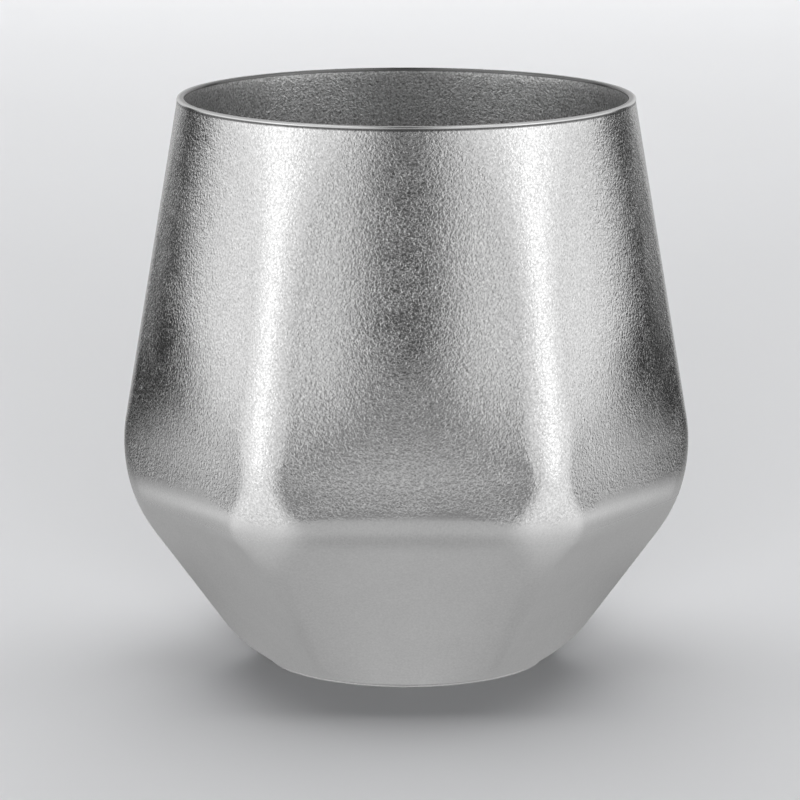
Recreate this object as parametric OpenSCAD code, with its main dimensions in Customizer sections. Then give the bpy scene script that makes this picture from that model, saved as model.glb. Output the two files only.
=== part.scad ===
// Double-walled titanium mug: a round lip over a six-sided shoulder, six facets and a round foot.
// Millimetres. The mug stands on z = 0 with its axis on Z. One facet faces -Y.

/* [Body] */
// Height from the table to the top of the lip
height = 90; // [80:1:110]
// Outside diameter of the lip
rim_d = 72; // [66:1:78]
// Number of facets around the body
facets = 6; // [5:1:8]
// Width across the facets at the shoulder, before its rounding
shoulder_w = 80.8; // [78:0.2:88]
// Height of the shoulder line above the table
shoulder_h = 28.6; // [24:0.2:36]
// Corner radius around the axis at the shoulder
shoulder_corner_r = 2.7; // [2:0.1:10]
// Corner radius around the axis in the upper body
upper_corner_r = 12.4; // [9:0.2:16]
// Angle by which an upper facet bows out on each side of its middle
facet_bow = 12; // [4:1:16]
// Radius of the fold over the shoulder in the middle of a facet
facet_fold_r = 6; // [3:0.5:10]
// Radius of the fold over the shoulder on a corner
corner_fold_r = 25; // [12:0.5:32]

/* [Foot] */
// Diameter of the flat that the mug stands on
foot_d = 37.6; // [34:0.2:42]
// Width across the facets at the table, if they ran on past the rounded foot
foot_w = 43.6; // [42.4:0.2:48]
// Corner radius around the axis at the table
foot_corner_r = 1; // [0.5:0.5:6]
// Width of the flat turned in at the foot
foot_flange = 1; // [0.6:0.1:2]

/* [Walls] */
// Sheet thickness of the outer shell
shell_wall = 0.5; // [0.4:0.05:0.8]
// Sheet thickness of the inner cup
cup_wall = 0.5; // [0.4:0.05:0.8]
// Gap between the two walls at the lip, bridged by the weld
seam_gap = 0.1; // [0.08:0.02:0.2]
// Height of the weld bead on the lip
bead_h = 0.5; // [0.4:0.1:1.2]
// How far the bead stands out past both walls
bead_proud = 0.06; // [0:0.02:0.2]
// Radius of the bead's two upper edges
bead_round = 0.3; // [0.15:0.05:0.4]

/* [Inner cup] */
// Outside diameter of the cup where its wall turns in
cup_belly_d = 68.8; // [64:0.2:69.4]
// Height of that turn above the table
cup_belly_h = 30; // [26:0.5:36]
// Radius of that turn
cup_belly_r = 12; // [6:0.5:18]
// Outside diameter of the cup floor, before its rounding
cup_floor_d = 40; // [34:0.5:42]
// Height of the underside of the cup floor above the table
cup_floor_h = 5.5; // [5:0.1:8]
// Radius around the cup floor
cup_floor_r = 6; // [3:0.5:8]

/* [Foil] */
// Thickness of the radiation foil
foil_t = 0.1; // [0.05:0.05:0.2]
// Height at which the foil starts
foil_low = 37; // [35:0.5:45]
// Length of the foil up the cup wall
foil_h = 42; // [20:1:44]
// Slack between the foil and the cup
foil_gap = 0.05; // [0.02:0.01:0.1]

/* [Base] */
// Sheet thickness of the base plate
plate_t = 0.6; // [0.4:0.1:0.9]
// Depth of the recess under the base plate
recess_h = 0.9; // [0.8:0.1:1.4]
// Clearance of the plate in the foot
plate_gap = 0.05; // [0.04:0.01:0.1]
// Width of the weld around the plate
weld_w = 0.25; // [0.15:0.05:0.4]
// Thickness of the cover under the base plate
cover_t = 0.5; // [0.3:0.05:0.6]
// Clearance around the cover
cover_gap = 0.15; // [0.05:0.05:0.3]
// Thickness of the bond between the cover and the plate
bond_t = 0.1; // [0.05:0.05:0.2]
// Outside diameter of the bond
bond_d = 29; // [26:0.5:32]
// Width of the bond
bond_w = 6; // [4:0.5:8]

/* [Seal] */
// Inside diameter of the dimple over the seal
dimple_d = 10; // [9.6:0.2:12]
// Rise of the dimple above the recess
dimple_h = 1.2; // [1:0.1:1.6]
// Diameter of the exhaust hole
hole_d = 2.4; // [1.5:0.1:4]
// Diameter of the seal disc
seal_d = 9.2; // [6:0.2:9.4]
// Thickness of the seal disc
seal_t = 0.6; // [0.4:0.1:0.8]
// Thickness of the braze
braze_t = 0.1; // [0.05:0.05:0.2]

/* [Getter] */
// Diameter of the getter tablet
tablet_d = 7; // [5:0.2:7.4]
// Thickness of the getter tablet
tablet_t = 1.4; // [0.8:0.1:1.8]
// Distance of the tablet from the axis
tablet_at = 11.4; // [10.4:0.1:12]
// Sheet thickness of the clip
clip_t = 0.25; // [0.15:0.05:0.4]
// Width of the clip
clip_w = 3; // [2:0.2:4]
// Length of each clip foot
clip_foot = 2; // [1:0.2:3]
// Clearance of the clip around the tablet
clip_gap = 0.05; // [0.02:0.01:0.1]

/* [Hidden] */
// Segments of each round corner and of each facet
arc_steps = 6;
flat_steps = 4;
// Rows over the shoulder fold, over the rounding at the foot and over the upper body
fold_rows = 12;
foot_rows = 7;
upper_rows = 8;
// Where the upper body's own corners begin and are full, and where the bow is full, as shares of the way to the lip
upper_low = 0.09;
upper_high = 0.35;
bow_high = 0.49;
// How fast the upper corners open towards the round lip
open_power = 3.4;
// Share of a bowed facet that is curved; the rest runs straight to the corners
bow_core = 0.7;
// Smoothness of round pieces
$fn = 96;
// Angle from a facet's middle to its corner
half_a = 180 / facets;
// Direction of the first corner, which puts a facet towards -Y
first_a = half_a - 90;
// Height of the two walls under the bead
wall_top = height - bead_h;
shell_top_r = rim_d / 2 - bead_proud;
cup_top_r = shell_top_r - shell_wall - seam_gap;
foot_r = foot_d / 2;
hem_r = foot_r - foot_flange;
facet_foot_r = foot_w / 2;
// Narrowest flat, so that a facet keeps a width where the section is round
least_c = 0.1;
// Wall levels between the rows
fold_top_h = shoulder_h + fold_reach(corner_reach(shoulder_w / 2, shoulder_corner_r), shell_top_r, wall_top,
                                     corner_reach(facet_foot_r, foot_corner_r), corner_fold_r, 1);
fold_low_h = shoulder_h - fold_reach(corner_reach(shoulder_w / 2, shoulder_corner_r), shell_top_r, wall_top,
                                     corner_reach(facet_foot_r, foot_corner_r), corner_fold_r, -1);
foot_top_h = round_top(corner_reach(shoulder_w / 2, shoulder_corner_r),
                       corner_reach(facet_foot_r, foot_corner_r));
plate_r = hem_r - plate_gap;
recess_r = plate_r - plate_t;
plate_top = recess_h + plate_t;
dimple_roof = recess_h + dimple_h;

// Distance of a corner's crown from the axis, for a facet distance and a corner radius
function corner_reach(a, k) = (a - k) / cos(half_a) + k;

// Length from the shoulder to the end of the fold, along the wall above (side 1) or below (side -1), as a rise
function fold_reach(knee_r, top_r, top_h, low_r, fold_r, side) =
    let (up = unit([top_r - knee_r, top_h - shoulder_h]))
    let (down = unit([low_r - knee_r, -shoulder_h]))
    let (opening = acos(up * down))
    let (reach = fold_r / tan(opening / 2))
    side > 0 ? up[1] * reach : -down[1] * reach;

// Radius of the rounding between a wall and the flat foot
function foot_round(knee_r, low_r) =
    (low_r - foot_r) / tan((90 - atan2(knee_r - low_r, shoulder_h)) / 2);

// Height at which that rounding meets the wall
function round_top(knee_r, low_r) =
    foot_round(knee_r, low_r) * (1 - sin(atan2(knee_r - low_r, shoulder_h)));

function unit(v) = v / norm(v);

// Distance of a wall from the axis at height z: two straight runs with a fold between them
function run_r(z, knee_r, low_r, fold_r) =
    let (rise = fold_reach(knee_r, shell_top_r, wall_top, low_r, fold_r, 1))
    let (drop = fold_reach(knee_r, shell_top_r, wall_top, low_r, fold_r, -1))
    z >= shoulder_h + rise
        ? shell_top_r + (knee_r - shell_top_r) * (wall_top - z) / (wall_top - shoulder_h) :
    z <= shoulder_h - drop
        ? low_r + (knee_r - low_r) * z / shoulder_h :
    let (up = unit([shell_top_r - knee_r, wall_top - shoulder_h]))
    let (down = unit([low_r - knee_r, -shoulder_h]))
    let (opening = acos(up * down))
    let (centre = [knee_r, shoulder_h] + unit(up + down) * fold_r / sin(opening / 2))
    centre[0] + sqrt(fold_r * fold_r - (z - centre[1]) * (z - centre[1]));

// On a corner the wall ends in the rounded foot, which also cuts the facets off near the table
function corner_r(z) =
    let (knee_r = corner_reach(shoulder_w / 2, shoulder_corner_r))
    let (low_r = corner_reach(facet_foot_r, foot_corner_r))
    let (foot = foot_round(knee_r, low_r))
    z <= 0 ? foot_r :
    z < round_top(knee_r, low_r) ? foot_r + sqrt(foot * foot - (foot - z) * (foot - z)) :
    run_r(z, knee_r, low_r, corner_fold_r);
function facet_r(z) = min(corner_r(z), run_r(z, shoulder_w / 2, facet_foot_r, facet_fold_r));

function smooth(x) = let (t = min(1, max(0, x))) t * t * (3 - 2 * t);

// Share of the way from the shoulder to the lip, and how far the corners have opened there
function climb(z) = (z - shoulder_h) / (wall_top - shoulder_h);
function opened(z) = pow(min(1, max(0, (climb(z) - upper_high) / (1 - upper_high))), open_power);

// The round foot, 1 at the table and 0 where the facets are flat
function foot_share(z) = 1 - smooth(z / foot_top_h);

// A section: distance of the corner centres, corner radius, bow of the facets and the curved share of the bow
function section(z) =
    let (flat_c = (corner_r(z) - facet_r(z)) / (1 - cos(half_a)))
    let (upper_k = upper_corner_r + (shell_top_r - upper_corner_r) * opened(z))
    let (upper = smooth((climb(z) - upper_low) / (upper_high - upper_low)))
    let (c = max(least_c, flat_c + (corner_r(z) - upper_k - flat_c) * upper))
    [c, corner_r(z) - c,
     facet_bow * max(smooth(climb(z) / bow_high), foot_share(z)),
     bow_core + (1 - bow_core) * max(opened(z), foot_share(z))];

// Rows of the shell from the hem to the lip
function shell_levels() = concat(
    [for (i = [1:foot_rows]) foot_top_h * pow(i / foot_rows, 2)],
    [for (i = [0:fold_rows]) fold_low_h + (fold_top_h - fold_low_h) * i / fold_rows],
    [for (i = [1:upper_rows]) fold_top_h + (wall_top - fold_top_h) * i / upper_rows]);

// Columns around the axis: the corner's direction, whether the column is on the facet after it, and its place
// there from -1 to 1
function columns() = [for (s = [0:facets - 1])
    let (corner = first_a + 2 * half_a * s)
    each concat([for (i = [0:arc_steps]) [corner, false, 2 * i / arc_steps - 1]],
                [for (i = [1:flat_steps - 1]) [corner, true, 2 * i / flat_steps - 1]])];

function towards(a) = [cos(a), sin(a)];

// Height of a bowed facet over its chord, as a share of half the chord times the slope at its ends
function bow_rise(place, core) =
    let (p = abs(place))
    1 - max(p, core) + (core * core - pow(min(p, core), 2)) / (2 * core);

// Point of a section at a column
function on_section(s, column) =
    let (corner = column[0])
    let (turn = half_a - s[2])
    !column[1] ? s[0] * towards(corner) + s[1] * towards(corner + turn * column[2]) :
    let (from = s[0] * towards(corner) + s[1] * towards(corner + turn))
    let (to = s[0] * towards(corner + 2 * half_a) + s[1] * towards(corner + 2 * half_a - turn))
    (from + to) / 2 + (to - from) / 2 * column[2]
        + towards(corner + half_a) * norm(to - from) / 2 * tan(s[2]) * bow_rise(column[2], s[3]);

// Direction that a section faces at a column
function facing(s, column) =
    !column[1] ? column[0] + (half_a - s[2]) * column[2] :
    column[0] + half_a + atan(tan(s[2]) * min(1, max(-1, column[2] / s[3])));

function outer_row(z) =
    let (s = section(z))
    [for (column = columns()) concat(on_section(s, column), z)];

// The outer row moved into the wall, square to the surface
function inner_row(z) =
    let (step = 0.01)
    let (s = section(z))
    let (above = section(z + step))
    let (below = section(z - step))
    [for (column = columns())
        let (side = towards(facing(s, column)))
        let (rate = (on_section(above, column) - on_section(below, column)) * side / (2 * step))
        concat(on_section(s, column), z) - shell_wall * unit([side[0], side[1], -rate])];

// Round rows at the two ends, where the wall is cut square
function hem_row(r, z) = [for (column = columns())
    let (a = column[1] ? column[0] + half_a + facet_bow * column[2] : column[0] + (half_a - facet_bow) * column[2])
    [r * cos(a), r * sin(a), z]];
function lip_row(r) = hem_row(r, wall_top);

function shell_points() =
    let (levels = shell_levels())
    let (last = len(levels) - 1)
    concat(
        hem_row(hem_r, 0),
        hem_row(foot_r, 0),
        [for (i = [0:last - 1]) each outer_row(levels[i])],
        lip_row(shell_top_r),
        lip_row(shell_top_r - shell_wall),
        [for (i = [last - 1:-1:0]) each inner_row(levels[i])],
        hem_row(foot_r, shell_wall),
        hem_row(hem_r, shell_wall));

// The rows form a closed ring, so each joins the next and the last joins the first
function ring_faces(rows, cols) = [for (i = [0:rows - 1], j = [0:cols - 1])
    let (n = (i + 1) % rows)
    let (m = (j + 1) % cols)
    each [[i * cols + j, n * cols + j, n * cols + m], [i * cols + j, n * cols + m, i * cols + m]]];

module outer_shell() {
    points = shell_points();
    cols = facets * (arc_steps + flat_steps);
    color([0.68, 0.68, 0.69])
        polyhedron(points = points, faces = ring_faces(len(points) / cols, cols), convexity = 6);
}

// Round the middle of three points, as a list of points on the arc
function rounded(before, at, after, r, steps) =
    let (u = unit(before - at))
    let (w = unit(after - at))
    let (opening = acos(u * w))
    let (reach = r / tan(opening / 2))
    let (centre = at + unit(u + w) * r / sin(opening / 2))
    let (from = at + u * reach - centre)
    let (to = at + w * reach - centre)
    let (start = atan2(from[1], from[0]))
    let (sweep = atan2(from[0] * to[1] - from[1] * to[0], from * to))
    [for (i = [0:steps]) centre + r * [cos(start + sweep * i / steps), sin(start + sweep * i / steps)]];

// One face of the cup from lip to axis, at a depth into its wall
function cup_face(depth) =
    let (lip = [cup_top_r - depth, wall_top])
    let (belly = [cup_belly_d / 2, cup_belly_h])
    let (floor_edge = [cup_floor_d / 2, cup_floor_h])
    let (wall_dir = unit(belly - [cup_top_r, wall_top]))
    let (cone_dir = unit(floor_edge - belly))
    let (belly_in = corner_in(belly, wall_dir, cone_dir, depth))
    let (floor_in = corner_in(floor_edge, cone_dir, [-1, 0], depth))
    concat([lip],
           rounded(lip, belly_in, floor_in, cup_belly_r - depth, 10),
           rounded(belly_in, floor_in, [0, floor_in[1]], cup_floor_r - depth, 8),
           [[0, floor_in[1]]]);

// A corner between two runs, moved to the left of both by a depth
function corner_in(at, run_in, run_out, depth) =
    let (n = unit([run_in[1], -run_in[0]] + [run_out[1], -run_out[0]]))
    at + n * depth / (n * [run_in[1], -run_in[0]]);

function reversed(list) = [for (i = [len(list) - 1:-1:0]) list[i]];

module inner_cup() {
    color([0.62, 0.62, 0.63])
        rotate_extrude()
            polygon(concat(cup_face(0), reversed(cup_face(cup_wall))));
}

module rim_weld() {
    inner_r = cup_top_r - cup_wall - bead_proud;
    bead_w = rim_d / 2 - inner_r;
    color([0.82, 0.82, 0.83])
        rotate_extrude()
            intersection() {
                translate([inner_r, wall_top])
                    square([bead_w, bead_h]);
                union() {
                    translate([inner_r, wall_top - bead_h])
                        square([bead_w, 2 * bead_h - bead_round]);
                    translate([inner_r + bead_round, wall_top])
                        square([bead_w - 2 * bead_round, bead_h]);
                    for (r = [inner_r + bead_round, inner_r + bead_w - bead_round])
                        translate([r, height - bead_round])
                            circle(r = bead_round);
                }
            }
}

module base_plate() {
    color([0.66, 0.66, 0.67])
        rotate_extrude()
            polygon([
                [hole_d / 2, dimple_roof],
                [dimple_d / 2, dimple_roof],
                [dimple_d / 2, recess_h],
                [recess_r, recess_h],
                [recess_r, 0],
                [plate_r - weld_w, 0],
                [plate_r, weld_w],
                [plate_r, plate_top],
                [dimple_d / 2 + plate_t, plate_top],
                [dimple_d / 2 + plate_t, dimple_roof + plate_t],
                [hole_d / 2, dimple_roof + plate_t]]);
}

module base_weld() {
    color([0.75, 0.75, 0.76])
        rotate_extrude()
            polygon([[plate_r - weld_w, 0], [plate_r, 0], [plate_r, weld_w]]);
}

module seal_disc() {
    color([0.7, 0.7, 0.71])
        translate([0, 0, dimple_roof - braze_t - seal_t])
            cylinder(h = seal_t, d = seal_d);
}

module seal_braze() {
    color([0.8, 0.74, 0.55])
        translate([0, 0, dimple_roof - braze_t])
            difference() {
                cylinder(h = braze_t, d = seal_d);
                translate([0, 0, -braze_t])
                    cylinder(h = 3 * braze_t, d = hole_d);
            }
}

module base_cover() {
    color([0.64, 0.64, 0.65])
        translate([0, 0, recess_h - bond_t - cover_t])
            cylinder(h = cover_t, r = recess_r - cover_gap);
}

module cover_bond() {
    color([0.25, 0.25, 0.26])
        translate([0, 0, recess_h - bond_t])
            difference() {
                cylinder(h = bond_t, d = bond_d);
                translate([0, 0, -bond_t])
                    cylinder(h = 3 * bond_t, d = bond_d - 2 * bond_w);
            }
}

module getter_tablet() {
    color([0.3, 0.3, 0.32])
        translate([tablet_at, 0, plate_top])
            cylinder(h = tablet_t, d = tablet_d);
}

module getter_clip() {
    inside = tablet_d / 2 + clip_gap;
    color([0.72, 0.72, 0.72])
        translate([tablet_at - clip_w / 2, 0, plate_top]) {
            for (side = [-1, 1]) {
                translate([0, side > 0 ? inside : -inside - clip_foot, 0])
                    cube([clip_w, clip_foot, clip_t]);
                translate([0, side > 0 ? inside : -inside - clip_t, 0])
                    cube([clip_w, clip_t, tablet_t + clip_gap + clip_t]);
            }
            translate([0, -inside - clip_t, tablet_t + clip_gap])
                cube([clip_w, 2 * (inside + clip_t), clip_t]);
        }
}

// Outside radius of the cup's straight wall at a height
function cup_r(z) =
    cup_belly_d / 2 + (cup_top_r - cup_belly_d / 2) * (z - cup_belly_h) / (wall_top - cup_belly_h);

module foil_wrap() {
    foil_top = foil_low + foil_h;
    color([0.72, 0.45, 0.3])
        rotate_extrude()
            polygon([
                [cup_r(foil_low) + foil_gap, foil_low],
                [cup_r(foil_low) + foil_gap + foil_t, foil_low],
                [cup_r(foil_top) + foil_gap + foil_t, foil_top],
                [cup_r(foil_top) + foil_gap, foil_top]]);
}

outer_shell();
inner_cup();
rim_weld();
base_plate();
base_weld();
seal_disc();
seal_braze();
base_cover();
cover_bond();
getter_tablet();
getter_clip();
foil_wrap();
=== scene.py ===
"""Dressed model of a double-walled titanium tumbler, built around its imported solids."""

import logging
import math
from dataclasses import dataclass
from enum import Enum

import bpy
import numpy as np
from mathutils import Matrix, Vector


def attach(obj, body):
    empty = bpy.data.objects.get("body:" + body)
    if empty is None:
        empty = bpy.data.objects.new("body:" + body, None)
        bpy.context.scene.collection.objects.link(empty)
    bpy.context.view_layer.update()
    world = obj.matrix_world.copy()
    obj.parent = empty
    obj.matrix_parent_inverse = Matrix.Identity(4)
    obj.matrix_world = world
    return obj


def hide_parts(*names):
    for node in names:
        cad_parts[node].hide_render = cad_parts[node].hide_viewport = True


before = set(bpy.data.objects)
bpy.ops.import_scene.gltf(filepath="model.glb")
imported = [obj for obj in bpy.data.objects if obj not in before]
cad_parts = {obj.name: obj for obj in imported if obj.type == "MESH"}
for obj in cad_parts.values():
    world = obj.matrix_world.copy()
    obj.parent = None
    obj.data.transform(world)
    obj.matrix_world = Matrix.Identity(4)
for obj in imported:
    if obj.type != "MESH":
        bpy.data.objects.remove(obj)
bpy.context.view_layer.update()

LOG = logging.getLogger("tumbler")
MM = 0.001
BODY = "root"
CRISP_TURN = math.radians(50.0)
NOISE_MIDDLE = 0.5
# Strength of the studio's glow in light that reaches the floor by way of the tumbler
SECOND_HAND = 0.1

Pair = tuple[float, float]
Triple = tuple[float, float, float]
Colour = tuple[float, float, float, float]
Stops = tuple[Pair, ...]
Socket = bpy.types.NodeSocket
Source = Socket | float | tuple[float, ...]


class Slot(Enum):
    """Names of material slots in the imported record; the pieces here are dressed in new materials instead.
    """

    SHELL = "shell_titanium"
    CUP = "cup_titanium"
    LIP = "lip_titanium"
    BASE = "base_titanium"
    WELD = "weld_titanium"
    COVER = "cover_titanium"


class Ends(Enum):
    """How the first and the last ring of a lofted surface are closed."""

    LOOP = "last ring joins the first"
    POLES = "both end rings close in a point on the axis"


# Profiles in the plane of distance and height


def unit(v: np.ndarray) -> np.ndarray:
    """The vector v at length one."""
    return v / np.linalg.norm(v)


def soft_step(value: np.ndarray, low: float, high: float) -> np.ndarray:
    """Smooth rise from 0 to 1 between two values: three times the square less twice the cube."""
    share = np.clip((value - low) / (high - low), 0.0, 1.0)
    return share * share * (3.0 - 2.0 * share)


def on_circle(centre: np.ndarray, radius: float, angle: np.ndarray) -> np.ndarray:
    """Points of a circle: the centre plus the radius times the cosine and the sine of each angle."""
    return centre + radius * np.stack((np.cos(angle), np.sin(angle)), axis=-1)


def arc(centre: Pair, radius: float, sweep: Pair, steps: int) -> np.ndarray:
    """Points on a circle of the profile plane, evenly spaced over a sweep.

    Args:
        centre: distance and height of the centre.
        radius: radius of the circle.
        sweep: first and last angle, in degrees from straight outwards.
        steps: number of intervals.

    Returns:
        Rows of distance and height.
    """
    angle = np.radians(np.linspace(*sweep, steps + 1))
    return on_circle(np.array(centre), radius, angle)


def run(start: np.ndarray | Pair, stop: np.ndarray | Pair, steps: int) -> np.ndarray:
    """Evenly spaced profile points on a straight run, both ends included."""
    return np.linspace(np.array(start), np.array(stop), steps + 1)


def fillet(at: np.ndarray, back: np.ndarray, ahead: np.ndarray, radius: float) -> tuple[np.ndarray, float]:
    """Arc that touches both runs from a corner; its centre is on the line that halves their opening.

    Args:
        at: corner.
        back: direction of the first run, from the corner.
        ahead: direction of the second run, from the corner.
        radius: radius of the arc.

    Returns:
        Centre of the arc, and the distance from the corner to where it touches the runs.
    """
    half = math.acos(float(back @ ahead)) / 2.0
    centre = at + unit(back + ahead) * radius / math.sin(half)
    return centre, radius / math.tan(half)


def bend(before: np.ndarray, at: np.ndarray, after: np.ndarray, radius: float, steps: int) -> np.ndarray:
    """Round the middle of three profile points with an arc that touches both runs.

    Args:
        before: point that the first run comes from.
        at: corner to round.
        after: point that the second run goes to.
        radius: radius of the arc.
        steps: number of intervals.

    Returns:
        Rows of distance and height along the arc.
    """
    back = unit(before - at)
    ahead = unit(after - at)
    centre, reach = fillet(at, back, ahead, radius)
    start = at + back * reach - centre
    stop = at + ahead * reach - centre
    first = math.atan2(start[1], start[0])
    sweep = math.atan2(start[0] * stop[1] - start[1] * stop[0], float(start @ stop))
    return on_circle(centre, radius, first + sweep * np.linspace(0.0, 1.0, steps + 1))


def outline(corners: tuple[Triple, ...], steps: int) -> np.ndarray:
    """Closed profile through corners, each rounded by an arc that touches both of its runs.

    Args:
        corners: distance, height and rounding radius of each corner, counterclockwise.
        steps: number of intervals in each arc.

    Returns:
        Rows of distance and height.
    """
    places = np.array([corner[:2] for corner in corners])
    rows = []
    for number, (_, _, radius) in enumerate(corners):
        at = places[number]
        before = places[number - 1]
        after = places[(number + 1) % len(places)]
        rows.append(bend(before, at, after, radius, steps) if radius > 0.0 else at[None, :])
    return np.vstack(rows)


# Surfaces from rings of points


def carry_round(profile: np.ndarray, turn: np.ndarray) -> np.ndarray:
    """Carry a profile round the axis: a point at distance r and height z becomes a ring of radius r.

    Args:
        profile: rows of distance and height.
        turn: angle of each column.

    Returns:
        Rings as an array of rings, columns and three coordinates.
    """
    x = profile[:, 0:1] * np.cos(turn)
    y = profile[:, 0:1] * np.sin(turn)
    z = np.broadcast_to(profile[:, 1:2], x.shape)
    return np.stack((x, y, z), axis=-1)


def revolve(profile: np.ndarray, columns: int) -> np.ndarray:
    """Rings of a profile that is carried round the axis on evenly spaced columns."""
    return carry_round(profile, np.linspace(0.0, 2.0 * np.pi, columns, endpoint=False))


def join_rings(rings: int, columns: int, loop: bool) -> np.ndarray:
    """Quads between neighbouring rings: ring i, column j joins ring i + 1, column j + 1.

    Args:
        rings: number of rings.
        columns: points in each ring.
        loop: whether the last ring joins the first.

    Returns:
        Vertex numbers, one row of four for each quad.
    """
    first = np.arange(rings if loop else rings - 1)[:, None]
    column = np.arange(columns)[None, :]
    following = (first + 1) % rings
    beside = (column + 1) % columns
    corners = (
        first * columns + column,
        first * columns + beside,
        following * columns + beside,
        following * columns + column,
    )
    return np.stack(np.broadcast_arrays(*corners), axis=-1).reshape(-1, 4)


def fan(pole: int, start: int, columns: int, inward: bool) -> np.ndarray:
    """Triangles from a pole to each side of a ring.

    Args:
        pole: vertex number of the pole.
        start: vertex number of the ring's first point.
        columns: points in the ring.
        inward: turns the triangles round, for the ring that ends a surface.

    Returns:
        Vertex numbers, one row of three for each triangle.
    """
    here = start + np.arange(columns)
    beside = start + (np.arange(columns) + 1) % columns
    middle = np.full(columns, pole)
    order = (middle, here, beside) if inward else (middle, beside, here)
    return np.stack(order, axis=-1)


def put_in_scene(name: str, data: bpy.types.ID) -> bpy.types.Object:
    """Make an object at the origin and link it to the scene.

    Args:
        name: name of the object.
        data: its mesh, lamp or camera.

    Returns:
        The new object.
    """
    thing = bpy.data.objects.new(name, data)
    bpy.context.scene.collection.objects.link(thing)
    return thing


def mesh_object(name: str, points: np.ndarray, faces: list[list[int]], smooth: bool) -> bpy.types.Object:
    """Make a mesh object at the origin.

    Args:
        name: name of the object and of its mesh.
        points: rows of three coordinates in metres.
        faces: vertex numbers of each face.
        smooth: whether the faces are shaded smooth.

    Returns:
        The new object.
    """
    mesh = bpy.data.meshes.new(name)
    mesh.from_pydata(points.tolist(), [], faces)
    mesh.polygons.foreach_set("use_smooth", np.full(len(faces), smooth))
    mesh.update()
    return put_in_scene(name, mesh)


def loft(name: str, rings: np.ndarray, ends: Ends) -> bpy.types.Object:
    """Make an object from rings of points given in millimetres.

    The rings run counterclockwise round the axis and climb on the outside, so faces point outwards.

    Args:
        name: name of the new piece.
        rings: points as an array of rings, columns and three coordinates.
        ends: how the first and the last ring are closed.

    Returns:
        The new object, at the origin.
    """
    count, columns, _ = rings.shape
    points = rings.reshape(-1, 3)
    faces = join_rings(count, columns, ends is Ends.LOOP).tolist()
    if ends is Ends.POLES:
        low = np.array([[0.0, 0.0, rings[0, 0, 2]]])
        high = np.array([[0.0, 0.0, rings[-1, 0, 2]]])
        total = len(points)
        points = np.concatenate((points, low, high))
        faces += fan(total, 0, columns, False).tolist()
        faces += fan(total + 1, total - columns, columns, True).tolist()
    piece = mesh_object(name, points * MM, faces, smooth=True)
    piece.data.set_sharp_from_angle(angle=CRISP_TURN)
    return piece


# Shader building


def opaque(colour: Triple, share: float = 1.0) -> Colour:
    """A colour at a share of its brightness, with full cover."""
    red, green, blue = colour
    return (share * red, share * green, share * blue, 1.0)


def grey(level: float) -> Colour:
    """A grey with full cover."""
    return opaque((level, level, level))


def cells_of(size: float) -> float:
    """Cells in a metre of a pattern whose cells have a size in millimetres."""
    return 1.0 / (size * MM)


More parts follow.
